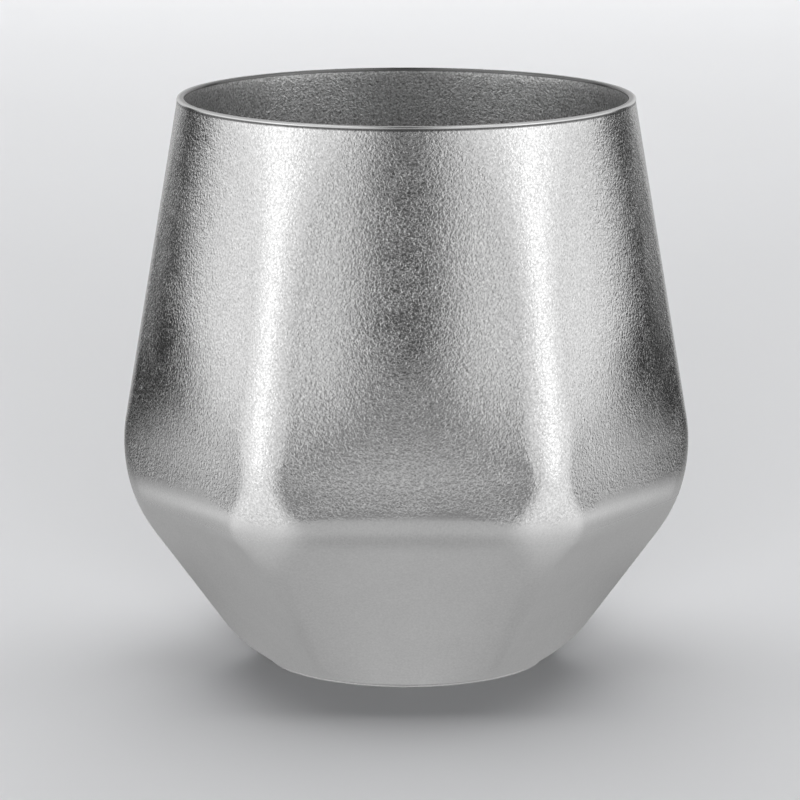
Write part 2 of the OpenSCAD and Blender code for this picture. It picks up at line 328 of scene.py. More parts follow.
class NodeBench:
    """Adds and wires the nodes of one shader tree."""

    # Sockets of the mix node that carry colours
    FIRST_COLOUR = 6
    SECOND_COLOUR = 7
    MIXED_COLOUR = 2

    def __init__(self, tree: bpy.types.NodeTree) -> None:
        """Start on an empty tree."""
        tree.nodes.clear()
        self.tree = tree

    def add(self, kind: str, **settings: object) -> bpy.types.Node:
        """Add a node and set its own properties.

        Args:
            kind: node type.
            settings: properties of the node.

        Returns:
            The new node.
        """
        node = self.tree.nodes.new(kind)
        for key, value in settings.items():
            setattr(node, key, value)
        return node

    def feed(self, node: bpy.types.Node, socket: str | int, source: Source) -> None:
        """Wire an output into a socket, or set the socket where the source is a plain value.

        Args:
            node: node that is fed.
            socket: name or number of its socket.
            source: output, number or colour.
        """
        if isinstance(source, Socket):
            self.tree.links.new(source, node.inputs[socket])
        else:
            node.inputs[socket].default_value = source

    def fill(self, node: bpy.types.Node, *sources: Source) -> Socket:
        """Feed the first sockets of a node in order.

        Args:
            node: node that is fed.
            sources: outputs, numbers or colours.

        Returns:
            The node's first output.
        """
        for place, source in enumerate(sources):
            self.feed(node, place, source)
        return node.outputs[0]

    def math(self, operation: str, *terms: Source) -> Socket:
        """One arithmetic step on numbers or outputs."""
        return self.fill(self.add("ShaderNodeMath", operation=operation), *terms)

    def vector(self, operation: str, *terms: Source) -> Socket:
        """One arithmetic step on vectors."""
        return self.fill(self.add("ShaderNodeVectorMath", operation=operation), *terms)

    def ease(self, value: Source, span: Pair, start: Source, stop: Source) -> Socket:
        """Map a value smoothly from a span onto start to stop."""
        node = self.add("ShaderNodeMapRange", interpolation_type="SMOOTHSTEP")
        return self.fill(node, value, *span, start, stop)

    def ease_mm(self, length: Socket, span: Pair, start: Source, stop: Source) -> Socket:
        """Map a length smoothly from a span in millimetres onto start to stop."""
        return self.ease(length, (span[0] * MM, span[1] * MM), start, stop)

    def ease_turn(self, angle: Socket, span: Pair) -> Socket:
        """Rise smoothly from 0 to 1 over a span of degrees."""
        return self.ease(angle, (math.radians(span[0]), math.radians(span[1])), 0.0, 1.0)

    def noise(self, where: Socket, scale: float, detail: float, rough: float, curl: float = 0.0) -> Socket:
        """A noise texture.

        Args:
            where: place that it is read at.
            scale: cells in one unit of the place.
            detail: number of finer layers.
            rough: strength of the finer layers.
            curl: how far its lines are bent.

        Returns:
            Its level, from 0 to 1.
        """
        node = self.add("ShaderNodeTexNoise")
        self.feed(node, "Vector", where)
        self.feed(node, "Scale", scale)
        self.feed(node, "Detail", detail)
        self.feed(node, "Roughness", rough)
        self.feed(node, "Distortion", curl)
        return node.outputs["Fac"]

    def centred(self, level: Socket) -> Socket:
        """A noise moved so that its middle is 0."""
        return self.math("SUBTRACT", level, NOISE_MIDDLE)

    def greys(self, value: Socket, stops: Stops) -> Socket:
        """A ramp of greys through the given places.

        Args:
            value: what the ramp is read at.
            stops: pairs of place and level.

        Returns:
            The ramp's colour output.
        """
        node = self.add("ShaderNodeValToRGB")
        ramp = node.color_ramp
        ramp.interpolation = "EASE"
        ramp.elements.remove(ramp.elements[1])
        for number, (place, level) in enumerate(stops):
            element = ramp.elements[0] if number == 0 else ramp.elements.new(place)
            element.position = place
            element.color = grey(level)
        return self.fill(node, value)

    def blend(self, share: Socket, first: Source, second: Source) -> Socket:
        """Mix two colours.

        Args:
            share: share of the second colour.
            first: colour at share 0.
            second: colour at share 1.

        Returns:
            The mixed colour.
        """
        node = self.add("ShaderNodeMix", data_type="RGBA")
        self.feed(node, 0, share)
        self.feed(node, self.FIRST_COLOUR, first)
        self.feed(node, self.SECOND_COLOUR, second)
        return node.outputs[self.MIXED_COLOUR]

    def coords(self) -> Socket:
        """Object coordinates."""
        return self.add("ShaderNodeTexCoord").outputs["Object"]

    def parts(self, vector: Socket) -> tuple[Socket, Socket, Socket]:
        """The three parts of a vector.

        Args:
            vector: vector to split.

        Returns:
            Its parts along x, y and z.
        """
        split = self.add("ShaderNodeSeparateXYZ")
        self.feed(split, 0, vector)
        return split.outputs["X"], split.outputs["Y"], split.outputs["Z"]

    def reach(self, coords: Socket) -> Socket:
        """Distance of a place from the axis: the length of the place without its height.

        Args:
            coords: the place.

        Returns:
            The distance.
        """
        flat = self.vector("MULTIPLY", coords, (1.0, 1.0, 0.0))
        node = self.add("ShaderNodeVectorMath", operation="LENGTH")
        self.feed(node, 0, flat)
        return node.outputs["Value"]

    def turn(self, x: Socket, y: Socket) -> Socket:
        """Angle about the axis from the camera side, alike to the left and to the right."""
        ahead = self.math("MULTIPLY", y, -1.0)
        return self.math("ARCTAN2", self.math("ABSOLUTE", x), ahead)

    def light_path(self, output: str) -> Socket:
        """One fact about the ray that meets the surface."""
        return self.add("ShaderNodeLightPath").outputs[output]

    def first_hand(self) -> Socket:
        """Strength of a glow: full in the tumbler's reflections, little in what it throws on the floor."""
        return self.ease(self.light_path("Diffuse Depth"), (0.0, 1.0), 1.0, SECOND_HAND)

    def bump(self, rise: Socket, depth: float, under: Socket | None = None) -> Socket:
        """Tilt the surface by a height pattern.

        Args:
            rise: pattern of heights.
            depth: millimetres to one unit of the pattern.
            under: normal that this one lies on, if any.

        Returns:
            The new normal.
        """
        node = self.add("ShaderNodeBump")
        self.feed(node, "Distance", depth * MM)
        self.feed(node, "Height", rise)
        if under is not None:
            self.feed(node, "Normal", under)
        return node.outputs[0]

    def emit(self, colour: Source, strength: Source = 1.0) -> Socket:
        """Shader of a surface that glows in a colour."""
        return self.fill(self.add("ShaderNodeEmission"), colour, strength)

    def choose(self, share: Socket, first: Socket, second: Socket) -> Socket:
        """Shader that is the first at share 0 and the second at share 1."""
        return self.fill(self.add("ShaderNodeMixShader"), share, first, second)

    def close(self, surface: Socket, output: str = "ShaderNodeOutputMaterial") -> None:
        """End the tree in an output node."""
        self.feed(self.add(output), "Surface", surface)

    def solid(self, colour: Socket, roughness: Source, normal: Socket, metallic: float = 1.0) -> None:
        """End the tree in a solid surface, which is bare metal unless told otherwise.

        Args:
            colour: colour of the surface.
            roughness: its roughness.
            normal: its normal.
            metallic: share of metal.
        """
        shader = self.add("ShaderNodeBsdfPrincipled")
        self.feed(shader, "Base Color", colour)
        self.feed(shader, "Metallic", metallic)
        self.feed(shader, "Roughness", roughness)
        self.feed(shader, "Normal", normal)
        self.close(shader.outputs[0])


def start_material(name: str) -> tuple[bpy.types.Material, NodeBench]:
    """Make an empty material.

    Args:
        name: name of the material.

    Returns:
        The material, and a bench on its node tree.
    """
    material = bpy.data.materials.new(name)
    material.use_nodes = True
    return material, NodeBench(material.node_tree)


# Finishes of the tumbler


@dataclass(frozen=True)
class CrystalTitanium:
    """Etched titanium, alike all over, as in the cup. Lengths in millimetres.

    Short curled ripples, stronger in some patches, lie over soft waves.
    """

    name: str
    tone: float = 0.57
    mottle: float = 0.06
    fleck: float = 1.5
    roughness: float = 0.36
    grain_size: float = 0.42
    grain_curl: float = 0.6
    grain_rise: float = 0.055
    speck_size: float = 0.32
    speck_shift: float = 100.0
    patch_size: float = 6.0
    patch_span: Pair = (0.35, 0.65)
    patch_rise: Pair = (0.8, 1.15)
    wave_size: float = 2.4
    wave_rise: float = 0.03

    def grain_share(self, bench: NodeBench, coords: Socket, height: Socket, cloud: Socket) -> Source:
        """Share of the ripples: they lie all over."""
        return 1.0

    def fleck_depth(self, bench: NodeBench, share: Source) -> Source:
        """Depth of the flecks: alike all over."""
        return self.fleck

    def shaded_below_lip(self, bench: NodeBench, height: Socket, tone: Socket) -> Socket:
        """Tone with any painted shade below the lip: there is none."""
        return tone

    def roughness_at(self, bench: NodeBench, height: Socket) -> Source:
        """Roughness: alike all over."""
        return self.roughness

    def relief(self, bench: NodeBench, coords: Socket, cloud: Socket, share: Source) -> Socket:
        """Normal of the ripples on the soft waves.

        Args:
            bench: bench of the material.
            coords: place on the piece.
            cloud: level of the patches.
            share: share of the ripples.

        Returns:
            The normal.
        """
        patch = bench.ease(cloud, self.patch_span, *self.patch_rise)
        ripple = bench.noise(coords, cells_of(self.grain_size), detail=1.0, rough=0.6, curl=self.grain_curl)
        rise = bench.math("MULTIPLY", bench.centred(ripple), bench.math("MULTIPLY", share, patch))
        wave = bench.noise(coords, cells_of(self.wave_size), detail=2.0, rough=0.5)
        waved = bench.bump(bench.math("MULTIPLY", wave, share), self.wave_rise)
        return bench.bump(rise, self.grain_rise, waved)

    def shade(self, bench: NodeBench, coords: Socket, cloud: Socket, share: Source) -> Socket:
        """Tone with soft mottling by the patches and fine flecks.

        Args:
            bench: bench of the material.
            coords: place on the piece.
            cloud: level of the patches.
            share: share of the ripples.

        Returns:
            The tone.
        """
        aside = bench.vector("ADD", coords, (self.speck_shift * MM,) * 3)
        speck = bench.noise(aside, cells_of(self.speck_size), detail=0.0, rough=0.5, curl=self.grain_curl)
        fleck = bench.math("MULTIPLY", bench.centred(speck), self.fleck_depth(bench, share))
        base = bench.math("MULTIPLY_ADD", bench.centred(cloud), self.mottle, self.tone)
        return bench.math("MULTIPLY_ADD", fleck, self.tone, base)

    def make(self) -> bpy.types.Material:
        """Build the material.

        Returns:
            The material.
        """
        material, bench = start_material(self.name)
        coords = bench.coords()
        _, _, height = bench.parts(coords)
        cloud = bench.noise(coords, cells_of(self.patch_size), detail=3.0, rough=0.6)
        share = self.grain_share(bench, coords, height, cloud)
        colour = self.shaded_below_lip(bench, height, self.shade(bench, coords, cloud, share))
        bench.solid(colour, self.roughness_at(bench, height), self.relief(bench, coords, cloud, share))
        return material


@dataclass(frozen=True)
class ShellTitanium(CrystalTitanium):
    """Etched titanium that turns matte below the shoulder, with painted shade in a dark band below the lip.
    """

    tone: float = 0.7
    fleck: float = 0.7
    low_fleck: float = 0.16
    roughness: float = 0.1
    low_roughness: float = 0.42
    grain_rise: float = 0.074
    grain_span: Pair = (30.4, 33.0)
    edge_wander: float = 4.0
    facet_reach: float = 40.4
    corner_drop: float = 0.5
    matte_span: Pair = (20.0, 34.0)
    # Painted shade: the tone is darkened in a band below the lip, for the shade of the groove under the bead
    painted_shade_span: Pair = (89.2, 89.36)
    painted_shade_tone: float = 0.3

    def grain_share(self, bench: NodeBench, coords: Socket, height: Socket, cloud: Socket) -> Source:
        """Share of the ripples: above a wandering line that drops at the corners, which reach further out.

        Args:
            bench: bench of the material.
            coords: place on the piece.
            height: height of that place.
            cloud: level of the patches.

        Returns:
            The share, from 0 to 1.
        """
        beyond = bench.math("SUBTRACT", bench.reach(coords), self.facet_reach * MM)
        level = bench.math("MULTIPLY_ADD", beyond, self.corner_drop, height)
        wander = bench.math("MULTIPLY", bench.centred(cloud), self.edge_wander * MM)
        edge = bench.math("ADD", level, wander)
        return bench.ease_mm(edge, self.grain_span, 0.0, 1.0)

    def fleck_depth(self, bench: NodeBench, share: Source) -> Source:
        """Depth of the flecks: less where the ripples end."""
        return bench.ease(share, (0.0, 1.0), self.low_fleck, self.fleck)

    def shaded_below_lip(self, bench: NodeBench, height: Socket, tone: Socket) -> Socket:
        """Tone with painted shade: darker in a band below the lip, for the shade of the groove under the
        bead.
        """
        shade_band = bench.ease_mm(height, self.painted_shade_span, 1.0, self.painted_shade_tone)
        return bench.math("MULTIPLY", tone, shade_band)

    def roughness_at(self, bench: NodeBench, height: Socket) -> Source:
        """Roughness: more below the shoulder."""
        return bench.ease_mm(height, self.matte_span, self.low_roughness, self.roughness)


@dataclass(frozen=True)
class LipTitanium:
    """Lip with etched flanks like the walls and a polished crown. Lengths in millimetres.

    The inner edge is painted darker, as painted shade, and a fine line of painted shade, for the shade of a
    groove, lies where the polish ends.
    """

    name: str
    tone: float = 0.78
    # Painted shade: the inner edge and a fine line where the polish ends are darker
    inner_shade_tone: float = 0.2
    groove_shade_tone: float = 0.22
    roughness: float = 0.16
    grain_size: float = 0.38
    grain_rise: float = 0.08
    crown_span: Pair = (89.52, 89.66)
    inner_shade_span: Pair = (35.3, 35.95)
    groove_shade_span: Pair = (0.1, 0.2)

    def make(self) -> bpy.types.Material:
        """Build the material: tone by the distance from the axis and the height, with painted shade at the
        inner edge and in a fine line below the crown, and ripples below the crown.

        Returns:
            The material.
        """
        material, bench = start_material(self.name)
        coords = bench.coords()
        _, _, height = bench.parts(coords)
        crown = bench.ease_mm(height, self.crown_span, 0.0, 1.0)
        flank = bench.math("SUBTRACT", 1.0, crown)
        ripple = bench.noise(coords, cells_of(self.grain_size), detail=1.0, rough=0.5)
        normal = bench.bump(bench.math("MULTIPLY", ripple, flank), self.grain_rise)
        # Painted shade: darker towards the inner edge
        inner_shaded = bench.ease_mm(bench.reach(coords), self.inner_shade_span, self.inner_shade_tone, self.tone)
        crowned = bench.ease(crown, (0.0, 1.0), self.tone, inner_shaded)
        # Painted shade: a fine dark line where the crown meets the flanks, for the shade of a groove
        off_groove = bench.math("ABSOLUTE", bench.math("SUBTRACT", height, self.crown_span[0] * MM))
        colour = bench.ease_mm(off_groove, self.groove_shade_span, self.groove_shade_tone, crowned)
        bench.solid(colour, self.roughness, normal)
        return material


@dataclass(frozen=True)
class GrainySurface:
    """Even matter with a fine grain, such as powder, bond, filler or foil. Lengths in millimetres."""

    name: str
    colour: Triple
    metallic: float
    roughness: float
    grain_size: float
    grain_rise: float
    spread: float = 0.25

    def make(self) -> bpy.types.Material:
        """Build the material; one noise gives the shade and the relief.

        Returns:
            The material.
        """
        material, bench = start_material(self.name)
        grain = bench.noise(bench.coords(), cells_of(self.grain_size), detail=4.0, rough=0.6)
        shade = bench.blend(grain, opaque(self.colour, 1.0 - self.spread), opaque(self.colour))
        bench.solid(shade, self.roughness, bench.bump(grain, self.grain_rise), self.metallic)
        return material


@dataclass(frozen=True)
class TurnedMetal:
    """Metal with fine marks round the axis, as turning leaves them. Lengths in millimetres."""

    name: str
    colour: Triple = (0.62, 0.62, 0.63)
    roughness: float = 0.15
    mark_width: float = 0.06
    mark_rise: float = 0.001
    mark_span: Pair = (0.3, 0.7)
    cells_a_radian: float = 3.0
    smoother: float = 0.8
    rougher: float = 1.3
    cells_a_metre: float = 300.0
    darker: float = 0.9

    def make(self) -> bpy.types.Material:
        """Build the material; marks follow the distance from the axis and the height, and little the turn.

        Returns:
            The material.
        """
        material, bench = start_material(self.name)
        coords = bench.coords()
        x, y, z = bench.parts(coords)
        fine = cells_of(self.mark_width)
        ring = bench.fill(
            bench.add("ShaderNodeCombineXYZ"),
            bench.math("MULTIPLY", bench.reach(coords), fine),
            bench.math("MULTIPLY", z, fine),
            bench.math("MULTIPLY", bench.math("ARCTAN2", y, x), self.cells_a_radian),
        )
        mark = bench.noise(ring, 1.0, detail=2.0, rough=0.6)
        smooth_end = self.roughness * self.smoother
        rough_end = self.roughness * self.rougher
        rough = bench.ease(mark, self.mark_span, smooth_end, rough_end)
        cloud = bench.noise(coords, self.cells_a_metre, detail=3.0, rough=0.6)
        shade = bench.blend(cloud, opaque(self.colour, self.darker), opaque(self.colour))
        bench.solid(shade, rough, bench.bump(mark, self.mark_rise))
        return material


def dress(piece: bpy.types.Object, material: bpy.types.Material) -> None:
    """Give a piece one material."""
    piece.data.materials.clear()
    piece.data.materials.append(material)


def hand_over(piece: bpy.types.Object, node: str) -> bpy.types.Object:
    """Set a piece in place of its solid on the body.

    Args:
        piece: finished piece.
        node: solid that the piece stands for.

    Returns:
        The piece.
    """
    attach(piece, BODY)
    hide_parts(node)
    return piece


# The tumbler


@dataclass
class OuterShell:
    """Formed sheet: a round lip, a six-sided shoulder, six facets and a rounded foot. Millimetres."""

    facets: int = 6
    wall_top: float = 89.5
    top_r: float = 35.94
    wall: float = 0.5
    shoulder_h: float = 28.6
    facet_knee: float = 40.466
    facet_knee_h: float = 27.7
    corner_knee: float = 46.23
    facet_fold: float = 10.0
    corner_fold: float = 25.0
    facet_low: float = 21.8
    corner_low: float = 25.02
    foot_r: float = 18.8
    hem_r: float = 17.8
    least_c: float = 0.1  # least distance of a corner's centre from the axis
    corner_k: float = 12.4  # corner radius above the shoulder
    grow_power: float = 3.4  # how late the corners open to the round lip
    upper_span: Pair = (0.09, 0.35)  # climb over which the corners become round
    bow: float = 12.0  # degrees
    bow_core: float = 0.7  # share of a facet that turns over in the parabola
    bow_high: float = 0.49  # climb where the bow is full
    hem_top: float = 0.16  # height where the bead starts
    hem_count: int = 7
    bead_centre: Pair = (21.75, 0.24)
    bead_round: float = 0.2
    bead_sweep: Pair = (-150.0, 80.0)
    bead_steps: int = 14
    lip_round: float = 0.06
    lip_sweep: Pair = (25.0, 90.0)
    lip_steps: int = 4
    foot_span: Pair = (0.46, 5.0)
    foot_count: int = 20
    facet_count: int = 14
    fold_span: Pair = (16.0, 46.0)
    fold_count: int = 60
    body_drop: float = 1.2  # distance below the top where the rings draw close
    body_count: int = 29
    lip_drops: tuple[float, ...] = (0.6, 0.3, 0.15, 0.09, 0.06)
    arc_steps: int = 24
    flat_steps: int = 14
    slope_step: float = 0.01  # height step that slopes are measured over
    column_h: float = 50.0  # height of the ring whose columns the round rings share
    column_k: float = 1.0  # corner radius of that ring

    def half_turn(self) -> float:
        """Angle from a facet's middle to its corner."""
        return math.pi / self.facets

    def wall_run(self, z: np.ndarray, knee: float, knee_h: float, low: float, fold: float) -> np.ndarray:
        """Distance of a wall from the axis: two straight runs through the knee, with a fold arc between them.

        Args:
            z: heights.
            knee: distance where the two runs would meet.
            knee_h: height where they would meet.
            low: distance of the lower run at the table.
            fold: radius of the fold.

        Returns:
            Distance at each height.
        """
        at = np.array((knee, knee_h))
        up = unit(np.array((self.top_r, self.wall_top)) - at)
        down = unit(np.array((low, 0.0)) - at)
        centre, length = fillet(at, up, down, fold)
        upper = self.top_r + (knee - self.top_r) * (self.wall_top - z) / (self.wall_top - knee_h)
        lower = low + (knee - low) * z / knee_h
        folded = centre[0] + np.sqrt(np.maximum(fold * fold - (z - centre[1]) ** 2, 0.0))
        above = z >= knee_h + up[1] * length
        below = z <= knee_h + down[1] * length
        return np.where(above, upper, np.where(below, lower, folded))

    def foot_curve(self) -> tuple[float, float]:
        """Rounding between a corner's wall and the table, an arc that touches both.

        Returns:
            Radius of the rounding, and the height where it ends.
        """
        lean = math.atan2(self.corner_knee - self.corner_low, self.shoulder_h)
        radius = (self.corner_low - self.foot_r) / math.tan((math.pi / 2.0 - lean) / 2.0)
        return radius, radius * (1.0 - math.sin(lean))

    def foot_rounding(self, z: np.ndarray) -> np.ndarray:
        """Distance of the rounded foot: a circle that stands on the table at the foot's radius."""
        radius, _ = self.foot_curve()
        return self.foot_r + np.sqrt(np.maximum(radius * radius - (radius - z) ** 2, 0.0))

    def corner_r(self, z: np.ndarray) -> np.ndarray:
        """Distance of the corners: their wall run, ending in the rounded foot near the table.

        Args:
            z: heights.

        Returns:
            Distance at each height.
        """
        _, top = self.foot_curve()
        wall = self.wall_run(z, self.corner_knee, self.shoulder_h, self.corner_low, self.corner_fold)
        return np.where(z < top, self.foot_rounding(z), wall)

    def climb(self, z: np.ndarray) -> np.ndarray:
        """Share of the way from the shoulder to the lip."""
        return (z - self.shoulder_h) / (self.wall_top - self.shoulder_h)

    def opened(self, z: np.ndarray) -> np.ndarray:
        """How far the corners have opened to the round lip, as a power of the climb above the corners."""
        share = (self.climb(z) - self.upper_span[1]) / (1.0 - self.upper_span[1])
        return np.clip(share, 0.0, 1.0) ** self.grow_power

    def section(self, z: np.ndarray) -> tuple[np.ndarray, np.ndarray]:
        """Corners of the sections that give the facets and the corners their distances.

        A corner reaches its centre's distance plus its radius. A facet reaches that distance times the
        cosine of the half turn, plus the radius. Above the shoulder the radius is given, and it opens
        to the round lip.

        Args:
            z: heights.

        Returns:
            Distance of the corner centres, and corner radius, at each height.
        """
        corner = self.corner_r(z)
        flat = self.wall_run(z, self.facet_knee, self.facet_knee_h, self.facet_low, self.facet_fold)
        facet = np.minimum(corner, flat)
        spread = 1.0 - math.cos(self.half_turn())
        flat_c = (corner - facet) / spread
        upper_k = self.corner_k + (self.top_r - self.corner_k) * self.opened(z)
        upper = soft_step(self.climb(z), *self.upper_span)
        c = np.maximum(self.least_c, flat_c + (corner - upper_k - flat_c) * upper)
        return c, corner - c

    def tilt(self, z: np.ndarray, turn: np.ndarray) -> np.ndarray:
        """How fast the corner arcs draw in with height, from the sections just above and just below.

        Args:
            z: heights of the rings.
            turn: angles from the corner's middle, for each ring.

        Returns:
            Inward run for each unit of height, at each ring and angle.
        """
        above = z + self.slope_step
        below = np.maximum(z - self.slope_step, 0.0)
        c_high, k_high = self.section(above)
        c_low, k_low = self.section(below)
        c_rate = ((c_high - c_low) / (above - below))[:, None, None]
        k_rate = ((k_high - k_low) / (above - below))[:, None, None]
        return -c_rate * np.cos(turn) - k_rate

    def bow_at(self, z: np.ndarray) -> np.ndarray:
        """Angle by which a facet bows out beside its middle: none below the shoulder, full above it."""
        return math.radians(self.bow) * soft_step(self.climb(z), 0.0, self.bow_high)

    def bowed(self, z: np.ndarray, place: np.ndarray) -> np.ndarray:
        """How far a facet stands over its chord, as a share of half the chord.

        It leaves each end straight, at the bow's angle, and turns over in a parabola about its middle.

        Args:
            z: heights of the rings.
            place: places along the chord, from -1 to 1.

        Returns:
            Share for each ring and place.
        """
        core = (self.bow_core + (1.0 - self.bow_core) * self.opened(z))[:, None, None, None]
        beyond = 1.0 - np.maximum(np.abs(place), core)
        within = (core * core - np.minimum(np.abs(place), core) ** 2) / (2.0 * core)
        return np.tan(self.bow_at(z))[:, None, None, None] * (beyond + within)

    def grid(self, z: np.ndarray, c: np.ndarray, k: np.ndarray, depth: float = 0.0) -> np.ndarray:
        """Rings of the shell: corner arcs of radius k about points at distance c, joined by bowed facets.

        A facet leaves each arc along the arc's own direction.

        Args:
            z: heights of the rings.
            c: distance of the corner centres in each ring.
            k: corner radius in each ring.
            depth: how far the rings lie inside the outer face, along its normal.

        Returns:
            Rings as an array of rings, columns and three coordinates.
        """
        half = self.half_turn()
        corner = half - math.pi / 2.0 + 2.0 * half * np.arange(self.facets)
        towards = corner[None, :, None]
        turn = (half - self.bow_at(z)[:, None, None]) * np.linspace(-1.0, 1.0, self.arc_steps + 1)
        tilt = self.tilt(z, turn)
        inset = depth / np.sqrt(1.0 + tilt * tilt)
        radius = k[:, None, None] - inset
        x = c[:, None, None] * np.cos(towards) + radius * np.cos(towards + turn)
        y = c[:, None, None] * np.sin(towards) + radius * np.sin(towards + turn)
        rise = z[:, None, None] - inset * tilt
        arcs = np.stack(np.broadcast_arrays(x, y, rise), axis=-1)
        start = arcs[:, :, -1:, :]
        stop = np.roll(arcs[:, :, :1, :], -1, axis=1)
        place = np.linspace(-1.0, 1.0, self.flat_steps + 2)[1:-1][None, None, :, None]
        half_chord = np.linalg.norm(stop - start, axis=-1, keepdims=True) / 2.0
        outward = np.stack((np.cos(corner + half), np.sin(corner + half), np.zeros(self.facets)), axis=-1)
        crown = half_chord * self.bowed(z, place) * outward[None, :, None, :]
        flats = (start + stop) / 2.0 + (stop - start) / 2.0 * place + crown
        return np.concatenate((arcs, flats), axis=2).reshape(len(z), -1, 3)

    def round_rings(self, profile: np.ndarray) -> np.ndarray:
        """Round rings on the shell's own columns.

        Args:
            profile: rows of distance and height.

        Returns:
            Rings as an array of rings, columns and three coordinates.
        """
        pattern = self.grid(np.array((self.column_h,)), np.array((self.least_c,)), np.array((self.column_k,)))
        return carry_round(profile, np.arctan2(pattern[0, :, 1], pattern[0, :, 0]))

    def foot_rings(self) -> np.ndarray:
        """Hem, rounded foot and the fine bead at its edge, from the hem outwards.

        Returns:
            Rings as an array of rings, columns and three coordinates.
        """
        z = np.linspace(0.0, self.hem_top, self.hem_count)
        rounded = np.stack((self.foot_rounding(z), z), axis=-1)
        bead = arc(self.bead_centre, self.bead_round, self.bead_sweep, self.bead_steps)
        return self.round_rings(np.vstack(((self.hem_r, 0.0), rounded, bead)))

    def lip_rings(self) -> np.ndarray:
        """Rounded outer edge and flat top of the wall, from outside inwards.

        Returns:
            Rings as an array of rings, columns and three coordinates.
        """
        centre = (self.top_r - self.lip_round, self.wall_top - self.lip_round)
        edge = arc(centre, self.lip_round, self.lip_sweep, self.lip_steps)
        return self.round_rings(np.vstack((edge, (self.top_r - self.wall, self.wall_top))))

    def heights(self) -> tuple[np.ndarray, np.ndarray]:
        """Heights of the rings, closest together near the table, in the fold and below the lip.

        Returns:
            Heights up the outer face, and the fewer heights down the inner face.
        """
        foot_low, foot_high = self.foot_span
        fold_low, fold_high = self.fold_span
        foot = foot_low + (foot_high - foot_low) * np.linspace(0.0, 1.0, self.foot_count) ** 2
        facet = np.linspace(foot_high, fold_low, self.facet_count)[1:]
        fold = np.linspace(fold_low, fold_high, self.fold_count)[1:]
        body = np.linspace(fold_high, self.wall_top - self.body_drop, self.body_count)[1:]
        below_lip = self.wall_top - np.array(self.lip_drops)
        outer = np.concatenate((foot, facet, fold, body, below_lip))
        # The inner face is hidden in the gap, so every third to fifth ring is enough for it
        inner = np.concatenate((foot[4::5], facet[::3], fold[::4], body[::5], below_lip[-1:]))
        return outer, inner[::-1]

    def build(self) -> list[bpy.types.Object]:
        """Loft the outer face from the hem to the lip and the inner face back down.

        Returns:
            The finished piece.
        """
        up, down = self.heights()
        outer = self.grid(up, *self.section(up))
        inner = self.grid(down, *self.section(down), self.wall)
        floor = self.round_rings(np.array(((self.foot_r, self.wall), (self.hem_r, self.wall))))
        rings = np.concatenate((self.foot_rings(), outer, self.lip_rings(), inner, floor))
        piece = loft("shell_skin", rings, Ends.LOOP)
        dress(piece, ShellTitanium("shell_crystal").make())
        return [hand_over(piece, "outer_shell")]


@dataclass
class InnerCup:
    """Drawn cup: a straight wall, a wide turn, a cone and a rounded floor. Millimetres."""

    top_r: float = 35.34
    wall_top: float = 89.5
    wall: float = 0.5
    belly: Pair = (34.4, 30.0)
    belly_round: float = 12.0
    floor_edge: Pair = (20.0, 5.5)
    floor_round: float = 6.0
    flare: float = 0.045
    flare_h: float = 1.3
    pole_r: float = 0.6
    wall_steps: int = 40
    flare_steps: int = 8
    belly_steps: int = 20
    cone_steps: int = 10
    edge_steps: int = 14
    floor_steps: int = 14
    columns: int = 192

    def face(self, depth: float) -> np.ndarray:
        """Profile of one face from the lip to near the axis, at a depth into the wall.

        Args:
            depth: distance from the outer face.

        Returns:
            Rows of distance and height.
        """
        lip = np.array((self.top_r - depth, self.wall_top))
        belly = np.array(self.belly)
        edge = np.array(self.floor_edge)
        wall_dir = unit(belly - np.array((self.top_r, self.wall_top)))
        cone_dir = unit(edge - belly)
        belly_in = self.inset(belly, wall_dir, cone_dir, depth)
        edge_in = self.inset(edge, cone_dir, np.array((-1.0, 0.0)), depth)
        axis = np.array((0.0, edge_in[1]))
        turn = bend(lip, belly_in, edge_in, self.belly_round - depth, self.belly_steps)
        rounding = bend(belly_in, edge_in, axis, self.floor_round - depth, self.edge_steps)
        wall = run(lip, turn[0], self.wall_steps)[:-1]
        wall = np.vstack((self.flared(lip, wall[1]), wall[1:])) if depth > 0.0 else wall
        cone = run(turn[-1], rounding[0], self.cone_steps)[1:-1]
        floor = run(rounding[-1], (self.pole_r, edge_in[1]), self.floor_steps)[1:]
        return np.vstack((wall, turn, cone, rounding, floor))

    def flared(self, lip: np.ndarray, below: np.ndarray) -> np.ndarray:
        """Top of the inner face, which opens outwards by the square of the climb over its last stretch.

        Args:
            lip: top of the straight wall.
            below: next point of the straight wall.

        Returns:
            Rows of distance and height, from the lip down.
        """
        climb = np.linspace(1.0, 0.0, self.flare_steps + 1)
        drop = self.flare_h * (1.0 - climb)
        straight = lip + unit(below - lip) * drop[:, None]
        straight[:, 0] += self.flare * climb**2
        return straight

    def inset(self, at: np.ndarray, first: np.ndarray, second: np.ndarray, depth: float) -> np.ndarray:
        """Corner between two runs, moved into the wall by a depth on both.

        Args:
            at: corner on the outer face.
            first: direction of the run that comes to it.
            second: direction of the run that leaves it.
            depth: distance from the outer face.

        Returns:
            Distance and height of the moved corner.
        """
        first_n = np.array((first[1], -first[0]))
        second_n = np.array((second[1], -second[0]))
        middle = unit(first_n + second_n)
        return at + middle * depth / float(middle @ first_n)

    def build(self) -> list[bpy.types.Object]:
        """Revolve both faces as one closed wall.

        Returns:
            The finished piece.
        """
        profile = np.vstack((self.face(0.0)[::-1], self.face(self.wall)))
        piece = loft("cup_skin", revolve(profile, self.columns), Ends.POLES)
        dress(piece, CrystalTitanium("cup_crystal").make())
        return [hand_over(piece, "inner_cup")]


